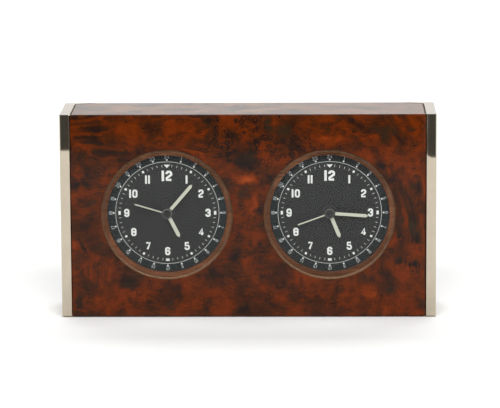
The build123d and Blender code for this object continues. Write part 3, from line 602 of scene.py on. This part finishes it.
# %% Finishes for the CAD pieces
CAP_POLISH = {"roughness": 0.01, "cloud": 9.0, "hairline": (0.8, 0.8, 30.0), "wear": 0.012}
FINISHES = {
    "walnut": walnut(),
    "block_wood": block_wood(),
    "cap_metal": polished_metal("cap_metal", (0.515, 0.45, 0.355), **CAP_POLISH),
    "screw_steel": polished_metal("screw_steel", (0.60, 0.61, 0.63), 0.22, 1.5),
    "screw_brass": polished_metal("screw_brass", (0.80, 0.56, 0.25), 0.16, 1.5),
    "clip_steel": polished_metal("clip_steel", (0.55, 0.55, 0.56), 0.28, 2.0),
    "glass": bevelled_glass(),
    "dial_black": dial_paint(),
    "nut_black": paint_coat("nut_black", (0.020, 0.020, 0.020), 0.30),
    "hand_black": hand_paint(),
    "movement_plastic": moulded_plastic("movement_plastic", (0.018, 0.018, 0.020)),
    "frame_plastic": moulded_plastic("frame_plastic", (0.66, 0.66, 0.62)),
    "battery_wrap": battery_sleeve(),
    "contact_steel": polished_metal("contact_steel", (0.70, 0.67, 0.60), 0.2, 1.5),
    "circuit_green": circuit_green(),
    "copper_winding": copper_winding(),
    "stator_steel": polished_metal("stator_steel", (0.42, 0.42, 0.44), 0.35, 1.2),
    "magnet": paint_coat("magnet", (0.035, 0.035, 0.038), 0.45, 0.3),
    "gear_plastic": moulded_plastic("gear_plastic", (0.76, 0.73, 0.65), 0.35, 0.15),
    "gear_brass": polished_metal("gear_brass", (0.76, 0.55, 0.25), 0.2, 1.2),
    "knob_plastic": moulded_plastic("knob_plastic", (0.025, 0.025, 0.026), 0.5, 0.3),
    "baize": None,
}
for subpart in frame["record"]["subparts"]:
    material = FINISHES[subpart["material_slot"]]
    node = frame["nodes"][subpart["node"]]
    for slot in node.material_slots:
        slot.material = material
print("finishes", len(FINISHES))

# %% [markdown]
# ## Printing on the dials
# White ink stands a few hundredths of a millimetre proud of the paint. Each kind of mark is one piece per
# dial: the ring and its minute strokes, the blocks at the hours with a pointer at 12, the dots and fine
# numbers of the twenty-four-hour zone, and the bold numbers. They are real plates and not a texture, so
# they stay sharp and reach the meshes. Angles run clockwise from 12.

# %% Ink, and how a mark is added
INK_T = 0.04 * MM
ink = paint_coat("white_ink", (0.82, 0.82, 0.80), 0.55, 0.3, 0.002)
soft_ink = paint_coat("grey_ink", (0.50, 0.53, 0.53), 0.55, 0.3, 0.002)


def on_dial(side, clockwise=0.0, radius=0.0, upright=False):
    """Takes a mark drawn flat in X and Y, in metres, to its place on a dial's face."""
    to_face = Matrix.Translation(dial_centre[side]) @ Matrix.Rotation(pi / 2, 4, "X")
    turned = Matrix.Rotation(-radians(clockwise), 4, "Z")
    moved = turned @ Matrix.Translation((0, radius * MM, 0))
    return to_face @ moved @ (turned.inverted() if upright else Matrix())


def add_bar(bm, matrix, width, height):
    made = bmesh.ops.create_cube(bm, size=1.0)["verts"]
    size = Matrix.Diagonal((width * MM, height * MM, INK_T, 1))
    bmesh.ops.transform(bm, verts=made, matrix=matrix @ Matrix.Translation((0, 0, INK_T / 2)) @ size)


def add_disc(bm, matrix, radius, segments=16):
    made = bmesh.ops.create_cone(
        bm, cap_ends=True, segments=segments, radius1=radius * MM, radius2=radius * MM, depth=INK_T
    )["verts"]
    bmesh.ops.transform(bm, verts=made, matrix=matrix @ Matrix.Translation((0, 0, INK_T / 2)))
    return made


def add_ring(bm, matrix, radius, width):
    """A flat ring: a small upright rectangle spun all the way round."""
    before = set(bm.verts)
    inner, outer = radius - width / 2, radius + width / 2
    corners = [(inner, 0), (outer, 0), (outer, 1), (inner, 1)]
    verts = [bm.verts.new((r * MM, 0, up * INK_T)) for r, up in corners]
    edges = [bm.edges.new((verts[i], verts[(i + 1) % 4])) for i in range(4)]
    bmesh.ops.spin(
        bm, geom=edges, cent=(0, 0, 0), axis=(0, 0, 1), angle=2 * pi, steps=180, use_merge=True
    )
    made = [v for v in bm.verts if v not in before]
    bmesh.ops.transform(bm, verts=made, matrix=matrix)


print("ink", INK_T / MM, "mm thick")

# %% Marks on both dials
STROKE_RADIUS, STROKE_WIDTH, MARK_HEIGHT = 29.25, 0.2, 1.45
BLOCK_RADIUS, BLOCK_WIDTH, QUARTER_WIDTH = 29.4, 1.3, 2.3
POINTER_RADIUS, POINTER_WIDER, POINTER_TALLER = 29.35, 2.2, 1.35
DOT_CIRCLE, DOT_RADIUS = 33.0, 0.52
for side in SIDES:
    bm = bmesh.new()
    add_ring(bm, on_dial(side), RING_RADIUS, RING_WIDTH)
    for minute in range(60):
        if minute % 5:
            add_bar(bm, on_dial(side, 6 * minute, STROKE_RADIUS), STROKE_WIDTH, MARK_HEIGHT)
    finish_piece(f"{side}_minute_track", bm, ink, "dial_black")

    bm = bmesh.new()
    for hour in range(1, 12):
        width = QUARTER_WIDTH if hour % 3 == 0 else BLOCK_WIDTH
        add_bar(bm, on_dial(side, 30 * hour, BLOCK_RADIUS), width, MARK_HEIGHT)
    at_twelve = on_dial(side, 0, POINTER_RADIUS)
    pointer = add_disc(bm, at_twelve @ Matrix.Rotation(pi, 4, "Z"), 1.0, 3)
    stretch = Matrix.Diagonal((POINTER_WIDER, 1.0, POINTER_TALLER, 1.0))
    centre = Matrix.Translation(at_twelve.translation)
    bmesh.ops.transform(bm, verts=pointer, matrix=centre @ stretch @ centre.inverted())
    finish_piece(f"{side}_hour_marks", bm, ink, "dial_black")

    bm = bmesh.new()
    for hour in range(24):
        add_disc(bm, on_dial(side, 15 * hour, DOT_CIRCLE), DOT_RADIUS)
    finish_piece(f"{side}_day_dots", bm, ink, "dial_black")

# %% [markdown]
# ## Numbers
# The numbers are heavy, narrow and square, like lettering cut with a straight router. Blender's own font
# is round and light, so each figure is drawn as strokes: a straight-sided path with cut corners,
# on a box one unit wide and high. A curve gives the path its width with mitred corners and is
# turned into a mesh. The same figures, with a thin stroke, number the twenty-four-hour zone.

# %% Figures drawn as strokes
# Each stroke of a figure says whether it closes on itself, and then its path.
LOOP = [(0, 0.15), (0, 0.85), (0.25, 1), (0.75, 1), (1, 0.85), (1, 0.15), (0.75, 0), (0.25, 0)]
HOOK = [(0, 0.72), (0, 0.85), (0.25, 1), (0.75, 1), (1, 0.85)]
FOOT = [(1, 0.15), (0.75, 0), (0.25, 0), (0, 0.15), (0, 0.28)]
FIGURES = {
    "0": [(True, LOOP)],
    "1": [(False, [(0.5, 0), (0.5, 1)])],
    "2": [(False, HOOK + [(1, 0.62), (0, 0.22), (0, 0), (1.04, 0)])],
    "3": [(False, HOOK + [(1, 0.65), (0.8, 0.53), (1, 0.40)] + FOOT),
          (False, [(0.35, 0.53), (0.8, 0.53)])],
    "4": [(False, [(0.72, 0), (0.72, 1), (-0.05, 0.3), (1.12, 0.3)])],
    "5": [(False, [(0.95, 1), (0, 1), (0, 0.58), (0.75, 0.58), (1, 0.44)] + FOOT)],
    "6": [(False, [(1, 0.74), (1, 0.85), (0.75, 1), (0.25, 1), (0, 0.85), (0, 0.15), (0.25, 0), (0.75, 0),
                   (1, 0.15), (1, 0.42), (0.75, 0.56), (0, 0.56)])],
    "7": [(False, [(-0.05, 1), (1, 1), (0.3, 0)])],
    "8": [(True, LOOP), (False, [(0, 0.53), (1, 0.53)])],
    "9": [(False, [(0, 0.26), (0, 0.15), (0.25, 0), (0.75, 0), (1, 0.15), (1, 0.85), (0.75, 1), (0.25, 1),
                   (0, 0.85), (0, 0.58), (0.25, 0.44), (1, 0.44)])],
}


def add_stroke(bm, matrix, path, width, closed):
    """Gives a path its width as a curve, then adds it to the bmesh pressed flat."""
    curve = bpy.data.curves.new("stroke", "CURVE")
    curve.dimensions = "3D"
    curve.twist_mode = "Z_UP"
    curve.bevel_depth = width / 2 * MM
    curve.bevel_resolution = 0
    curve.use_fill_caps = True
    spline = curve.splines.new("POLY")
    spline.points.add(len(path) - 1)
    for point, (x, y) in zip(spline.points, path):
        point.co = (x * MM, y * MM, 0, 1)
    spline.use_cyclic_u = closed
    carrier = bpy.data.objects.new("stroke", curve)
    mesh = bpy.data.meshes.new_from_object(carrier)
    pressed = Matrix.Diagonal((1, 1, INK_T / (width * MM), 1))
    mesh.transform(matrix @ Matrix.Translation((0, 0, INK_T / 2)) @ pressed)
    bm.from_mesh(mesh)
    bpy.data.objects.remove(carrier)
    bpy.data.curves.remove(curve)
    bpy.data.meshes.remove(mesh)


def add_number(bm, matrix, number, width, height, stroke, gap):
    """Writes a number centred on its place. A 1 is only as wide as its stroke."""
    widths = [stroke if figure == "1" else width for figure in str(number)]
    start = -(sum(widths) + gap * (len(widths) - 1)) / 2
    for figure, wide in zip(str(number), widths):
        for closed, path in FIGURES[figure]:
            left = start + stroke / 2
            across, up = wide - stroke, height - stroke
            if figure == "1":
                points = [(left, (y - 0.5) * height) for _, y in path]
            else:
                points = [(left + x * across, -up / 2 + y * up) for x, y in path]
            add_stroke(bm, matrix, points, stroke, closed)
        start += wide + gap


print("figures", "".join(FIGURES))

# %% Numbers on both dials
HOUR_FIGURES = {"width": 3.3, "height": 5.15, "stroke": 1.15, "gap": 0.7}
TWELVE_FIGURES = {"width": 4.25, "height": 6.55, "stroke": 1.55, "gap": 0.85}
DAY_FIGURES = {"width": 1.4, "height": 2.2, "stroke": 0.3, "gap": 0.3}
HOUR_CIRCLE, THREE_AND_NINE, TWELVE_RADIUS, DAY_CIRCLE = 24.0, 25.0, 23.1, 34.8
for side in SIDES:
    bm = bmesh.new()
    for hour in range(1, 12):
        radius = THREE_AND_NINE if hour in (3, 9) else HOUR_CIRCLE
        add_number(bm, on_dial(side, 30 * hour, radius, upright=True), hour, **HOUR_FIGURES)
    add_number(bm, on_dial(side, 0, TWELVE_RADIUS), 12, **TWELVE_FIGURES)
    finish_piece(f"{side}_hour_numbers", bm, ink, "dial_black")

    bm = bmesh.new()
    for hour in range(1, 25):
        add_number(bm, on_dial(side, 15 * hour, DAY_CIRCLE), hour, **DAY_FIGURES)
    finish_piece(f"{side}_day_numbers", bm, soft_ink, "dial_black")

# %% [markdown]
# ## Luminous filling
# The three hands are black frames with a long window, and the window holds a pale green luminous paste.
# The filling is its own piece, because it is another material, and it rides on its hand's body. It starts
# as an outline a little wider than the window, so that no gap shows round it, is given a thickness that
# ends just under the frame's front, and has its front edge eased so that it looks poured.

# %% Filling of the hands
# In millimetres: how far each hand reaches, its width, the length of its point, and how far inside its
# outline the filling stays.
HANDS = {
    "hour": {"length": 17.2, "width": 2.9, "point": 2.0, "inset": 0.09},
    "minute": {"length": 24.2, "width": 2.6, "point": 1.9, "inset": 0.09},
    "second": {"length": 21.4, "width": 1.15, "point": 1.0, "inset": 0.05},
}
WINDOW_START = 3.35
HAND_T = 0.3
FILLING_T = HAND_T * 0.9
# Hours, minutes and seconds that each dial shows.
READINGS = {"left": (5, 6, 47.75), "right": (5, 15, 41.67)}
lume = paint_coat("luminous_paste", (0.60, 0.59, 0.485), 0.6, 0.35, 0.006)


def hand_turns(reading):
    hours, minutes, seconds = reading
    minutes += seconds / 60
    return {"hour": 30 * (hours + minutes / 60), "minute": 6 * minutes, "second": 6 * seconds}


def window_fill(hand):
    """The hand's own outline drawn in on all sides, made thick, with its front edge eased."""
    inset = hand["inset"]
    half = hand["width"] / 2 - inset
    slope = hand["width"] / 2 / hand["point"]
    tip = hand["length"] - inset * (1 + slope * slope) ** 0.5 / slope
    shoulder = tip - half / slope
    outline = [
        (-half, WINDOW_START), (half, WINDOW_START), (half, shoulder), (0, tip), (-half, shoulder)
    ]
    bm = bmesh.new()
    face = bm.faces.new([bm.verts.new((x * MM, y * MM, 0)) for x, y in outline])
    grown = bmesh.ops.extrude_face_region(bm, geom=[face])["geom"]
    lifted = [v for v in grown if isinstance(v, bmesh.types.BMVert)]
    bmesh.ops.translate(bm, verts=lifted, vec=(0, 0, FILLING_T * MM))
    rim = [e for e in bm.edges if all(v in lifted for v in e.verts)]
    bmesh.ops.bevel(
        bm, geom=rim, offset=0.06 * MM, affect="EDGES", segments=2, profile=0.5, material=-1
    )
    return bm


for side in SIDES:
    for name, clockwise in hand_turns(READINGS[side]).items():
        bm = window_fill(HANDS[name])
        place = on_dial(side, clockwise)
        place.translation.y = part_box(f"{side}_{name}_hand")[1].y
        bmesh.ops.transform(bm, verts=bm.verts, matrix=place)
        finish_piece(f"{side}_{name}_lume", bm, lume, "hand_black", f"{side}_{name}_hand_body")

# %% [markdown]
# ## Felt
# A sheet of dark green baize is glued under the case. Felt has no weave: it is short fibres that lie
# every way, so its look is soft colour noise, a fine relief and a sheen at grazing angles. The sheet is
# cut with rounded corners and has its real thickness.

# %% Baize sheet
def baize():
    sheen = {"Sheen_Weight": 0.6, "Sheen_Roughness": 0.5, "Sheen_Tint": (0.35, 0.6, 0.42, 1.0)}
    b = Finish("green_baize", Specular_IOR_Level=0.2, **sheen)
    place = b.vector(*b.millimetres())
    fibres = b.noise(b.shaken(place, 1.2, 0.8, 3), 0.35, 4, 0.7)
    patches = b.noise(place, 11, 2)
    tint = b.mix(fibres, (0.006, 0.030, 0.014), (0.022, 0.085, 0.042))
    tint = b.mix(patches * 0.25, tint, (0.012, 0.050, 0.028))
    return b.paint(Base_Color=tint, Roughness=0.85 + fibres * 0.1, Normal=b.bump(fibres, 0.15))


low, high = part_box("base_baize")
FELT_CORNER = 3.0 * MM
bm = bmesh.new()
bmesh.ops.create_cube(bm, size=1.0)
size = high - low
bmesh.ops.transform(
    bm, verts=bm.verts, matrix=Matrix.Translation((low + high) / 2) @ Matrix.Diagonal((*size, 1))
)
upright = [e for e in bm.edges if abs(e.verts[0].co.z - e.verts[1].co.z) > size.z / 2]
bmesh.ops.bevel(
    bm, geom=upright, offset=FELT_CORNER, affect="EDGES", segments=6, profile=0.5, material=-1
)
felt = finish_piece("felt_sheet", bm, baize(), "baize")
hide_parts("base_baize")
print("felt", size)

# %% [markdown]
# ## The studio
# A white sweep runs from the floor up behind the clock, so there is no horizon. One wide soft light
# hangs in front and above, a second one whitens the sweep behind, and a weak white sky fills the rest.

# %% The sweep
def stage_piece(name, bm, material):
    piece = finish_piece(name, bm, material, None)
    return piece


SWEEP_FRONT, SWEEP_BACK, SWEEP_HALF, SWEEP_RADIUS, SWEEP_TOP = -5.0, 3.0, 4.0, 0.8, 3.5
bm = bmesh.new()
ends = [bm.verts.new((x, SWEEP_FRONT, 0)) for x in (-SWEEP_HALF, SWEEP_HALF)]
edge = [bm.edges.new(ends)]


def pull_edge(bm, edge, offset):
    grown = bmesh.ops.extrude_edge_only(bm, edges=edge)["geom"]
    bmesh.ops.translate(bm, verts=[v for v in grown if isinstance(v, bmesh.types.BMVert)], vec=offset)
    return [e for e in grown if isinstance(e, bmesh.types.BMEdge)]


edge = pull_edge(bm, edge, (0, SWEEP_BACK - SWEEP_FRONT, 0))
curved = bmesh.ops.spin(
    bm, geom=edge, cent=(0, SWEEP_BACK, SWEEP_RADIUS), axis=(1, 0, 0), angle=pi / 2, steps=16
)["geom_last"]
edge = [e for e in curved if isinstance(e, bmesh.types.BMEdge)]
pull_edge(bm, edge, (0, 0, SWEEP_TOP - SWEEP_RADIUS))
paper = Finish("white_paper", Roughness=0.9, Specular_IOR_Level=0.1)
mottle = paper.noise(paper.vector(*paper.millimetres()), 400, 1)
paper.paint(Base_Color=paper.mix(mottle, (0.90, 0.90, 0.895), (0.91, 0.91, 0.905)))
stage_piece("sweep", bm, paper.material)


# %% Lights
SKY_STRENGTH = 0.22


def area_light(name, place, target, size, watts):
    light = bpy.data.lights.new(name, "AREA")
    light.shape = "RECTANGLE"
    light.size, light.size_y = size
    light.energy = watts
    lamp = bpy.data.objects.new(name, light)
    bpy.context.scene.collection.objects.link(lamp)
    aim = (Vector(target) - Vector(place)).to_track_quat("-Z", "Y").to_matrix().to_4x4()
    lamp.matrix_world = Matrix.Translation(place) @ aim
    print(name, watts, "W")


area_light("key_light", (0.15, -2.5, 2.3), (0, 0, 0.05), (3.0, 1.8), 128)
area_light("sweep_light", (0, 1.7, 2.5), (0, 1.7, 0.0), (3.6, 1.4), 62)
world = bpy.data.worlds.new("studio")
world.use_nodes = True
sky = world.node_tree.nodes["Background"]
sky.inputs["Color"].default_value = (1, 1, 1, 1)
sky.inputs["Strength"].default_value = SKY_STRENGTH
bpy.context.scene.world = world
bpy.context.scene.view_settings.view_transform = "Standard"

# %% [markdown]
# ## Dark cards
# Polished metal and lacquer only look polished when they have something dark to mirror. So three dark
# cards lie on the floor in front: one for the upper end of each cap, and a wide one that fades out, for
# the lacquer between them. Only reflections see them: they are hidden from the camera, throw no shadow
# and take no part in the soft light. Each is drawn where it should show in the case's front, and every
# corner is then sent along the mirrored ray down to the floor.

# %% Cards that the case mirrors
# Heights on the case's front at which each card's lower edge shows, and where the wide one fades.
LEFT_CARD_LOW, RIGHT_CARD_LOW, WIDE_CARD_LOW = 103.5 * MM, 98.8 * MM, 80 * MM
WIDE_FADE = (118, 84)
CARD_CORNER = 4.0 * MM
CARD_SPREAD, CARD_ABOVE = 9 * MM, 30 * MM


def card_paper(soft_edge):
    """Dark paper which, on the wide card, fades out along the floor between two places."""
    c = Finish("soft_card" if soft_edge else "dark_card", Roughness=0.9, Specular_IOR_Level=0.1)
    x, y, z = c.millimetres()
    mottle = c.noise(c.vector(x, y, z), 60, 1)
    varying = {"Base_Color": c.mix(mottle, (0.036, 0.035, 0.032), (0.050, 0.048, 0.044))}
    if soft_edge:
        varying["Alpha"] = c.fall(y, *soft_edge)
    return c.paint(**varying)


def mirrored_on_floor(x, z):
    """Where the camera's ray lands after the case's front mirrors it at x and z."""
    share = z / (CAMERA_PLACE.z - z)
    away = front_y - CAMERA_PLACE.y
    return Vector((x + share * (x - CAMERA_PLACE.x), front_y - share * away, 1 * MM))


def dark_card(name, x_from, x_to, low, material, corner=0.0):
    """A card that the case mirrors from x_from to x_to, above the low edge."""
    above = top_z + CARD_ABOVE
    corners = [(x_from, 0, low), (x_to, 0, low), (x_to, 0, above), (x_from, 0, above)]
    bm = bmesh.new()
    verts = [bm.verts.new(at) for at in corners]
    bm.faces.new(verts)
    if corner:
        bmesh.ops.bevel(
            bm, geom=[verts[0]], offset=corner, affect="VERTICES", segments=6, profile=0.5, material=-1
        )
    for vert in bm.verts:
        vert.co = mirrored_on_floor(vert.co.x, vert.co.z)
    card = stage_piece(name, bm, material)
    for seen in ("camera", "diffuse", "transmission", "shadow"):
        setattr(card, f"visible_{seen}", False)


soft_edge = [mirrored_on_floor(0, height * MM).y / MM for height in WIDE_FADE]
left_inner, right_inner = -strip_inner + 1 * MM, strip_inner - 1 * MM
dark_card("left_card", -strip_outer - CARD_SPREAD, left_inner, LEFT_CARD_LOW, card_paper(None))
dark_card("wide_card", left_inner, right_inner, WIDE_CARD_LOW, card_paper(soft_edge))
dark_card(
    "right_card", strip_inner + 0.3 * MM, strip_outer + CARD_SPREAD, RIGHT_CARD_LOW, card_paper(None),
    CARD_CORNER,
)
